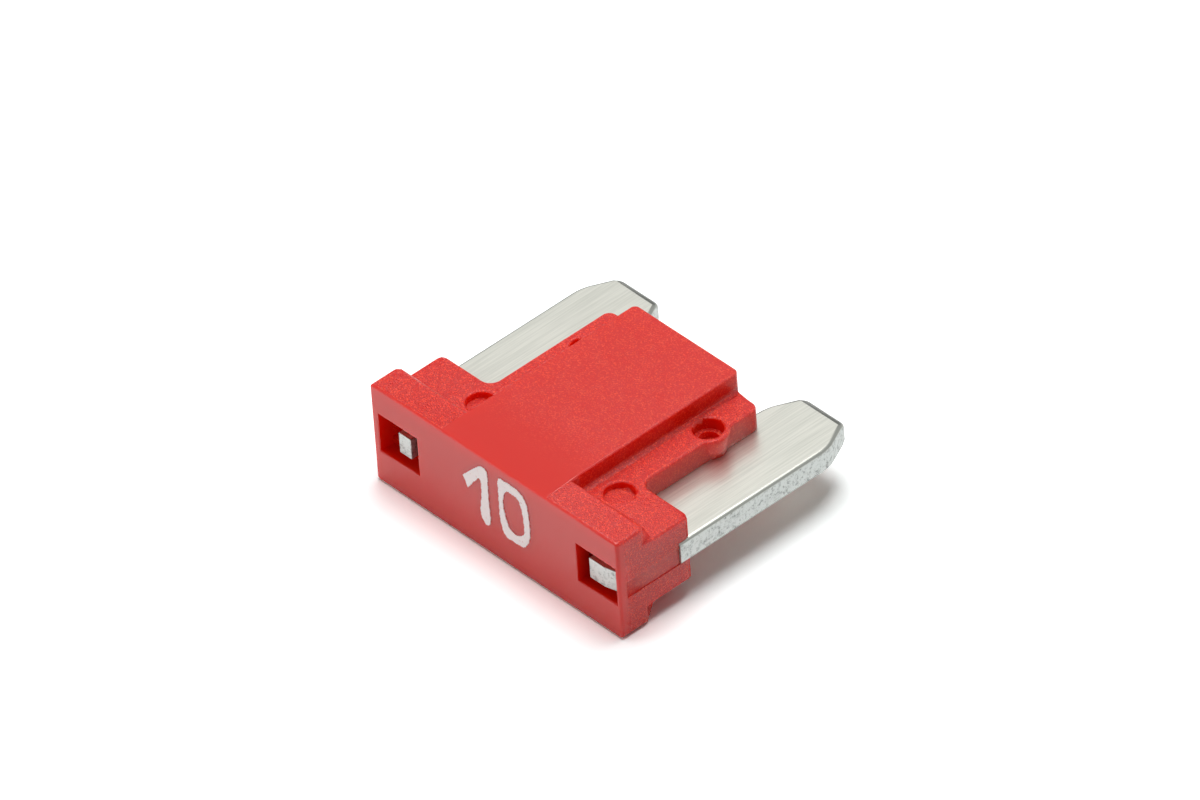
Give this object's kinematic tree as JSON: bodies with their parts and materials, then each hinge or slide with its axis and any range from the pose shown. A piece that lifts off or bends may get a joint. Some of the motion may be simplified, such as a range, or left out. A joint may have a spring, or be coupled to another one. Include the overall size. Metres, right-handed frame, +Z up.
{
  "type": "automotive blade fuse",
  "caption": "Low-profile mini blade fuse: a red moulded housing with a raised block clamps a stamped zinc element with flat blades, test tabs and a hidden link.",
  "frame": {"origin": "centre of the part's bounding box, on the ground that the part lies on", "axes": "+X across the blades towards the blade with the torn test tab, +Y from the window face towards the blade tips, +Z up through the thickness"},
  "size_m": [0.011, 0.0098, 0.0038],
  "materials": {
    "red_plastic": "moulded, finely spark-eroded grain on the broad sides, polished window face",
    "zinc": "rolled zinc sheet, satin, sheared edges",
    "white_ink": "pad-printed ink"
  },
  "bodies": {
    "root": {"housing": "red_plastic", "fuse_element": "zinc", "rating_print": "white_ink"}
  },
  "joints": []
}
